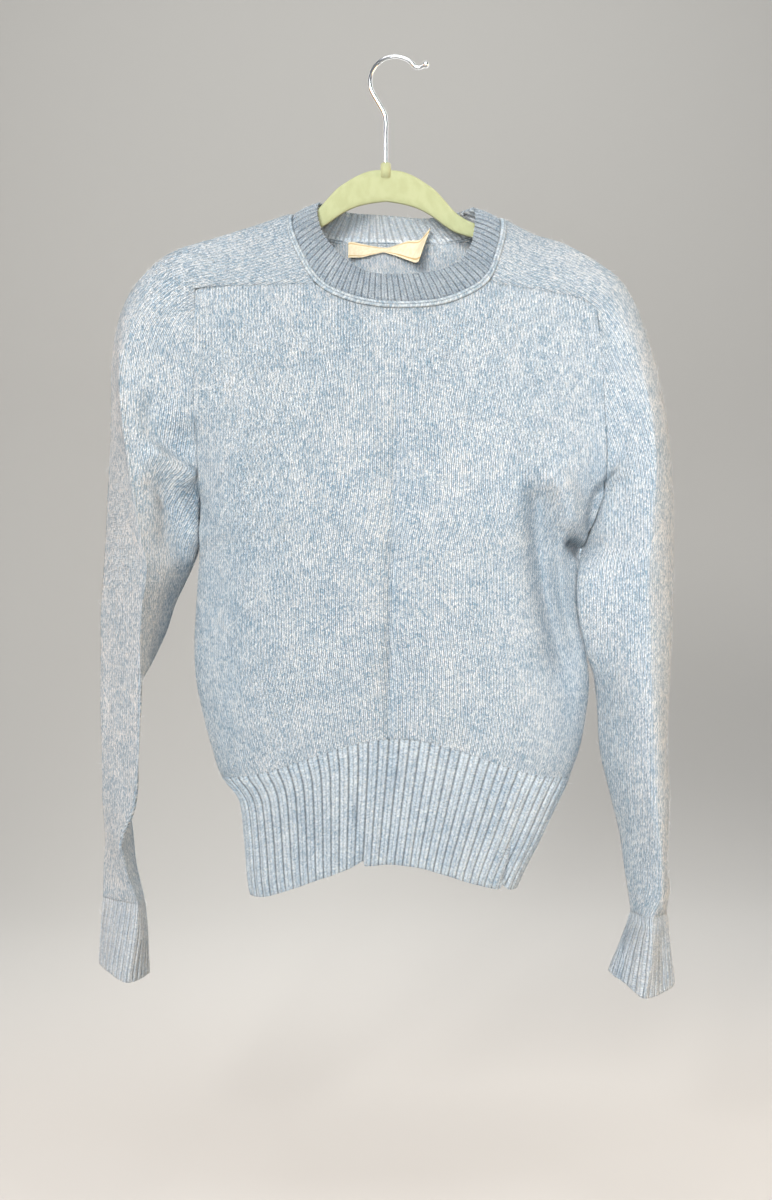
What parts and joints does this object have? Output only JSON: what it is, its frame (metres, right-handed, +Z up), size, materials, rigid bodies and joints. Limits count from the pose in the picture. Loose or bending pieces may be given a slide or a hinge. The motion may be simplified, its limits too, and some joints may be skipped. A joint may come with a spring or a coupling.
{
  "type": "crewneck wool sweater on a flocked hanger",
  "caption": "Pale heathered blue wool pullover with saddle shoulders and ribbed neck, waist and cuffs, hanging on a slim flocked hanger with a wire hook.",
  "frame": {"origin": "the inside of the hook's top, where it rests on whatever it hangs from", "axes": "+Z up; the sweater's front faces -Y; +X is the viewer's right when looking at the front, which is the wearer's left"},
  "size_m": [0.5198, 0.1082, 0.8419],
  "materials": {
    "heathered_wool": "matt hairy woollen knit in plain stockinette, pale blue mixed with cream fibres",
    "ribbed_wool": "the same wool knitted in 1x1 rib, darker between the ribs",
    "flocked_plastic": "pale green-yellow flocking on moulded plastic",
    "chromed_wire": "bright plated steel wire",
    "woven_label": "soft cream ribbon with a slight sheen, bare"
  },
  "bodies": {
    "root": {"front_panel": "heathered_wool", "back_panel": "heathered_wool", "sleeve_left": "heathered_wool", "sleeve_right": "heathered_wool", "neckband": "ribbed_wool", "waist_rib_front": "ribbed_wool", "waist_rib_back": "ribbed_wool", "cuff_left": "ribbed_wool", "cuff_right": "ribbed_wool", "neck_label": "woven_label", "hanger_body": "flocked_plastic", "hanger_hook": "chromed_wire"}
  },
  "joints": []
}
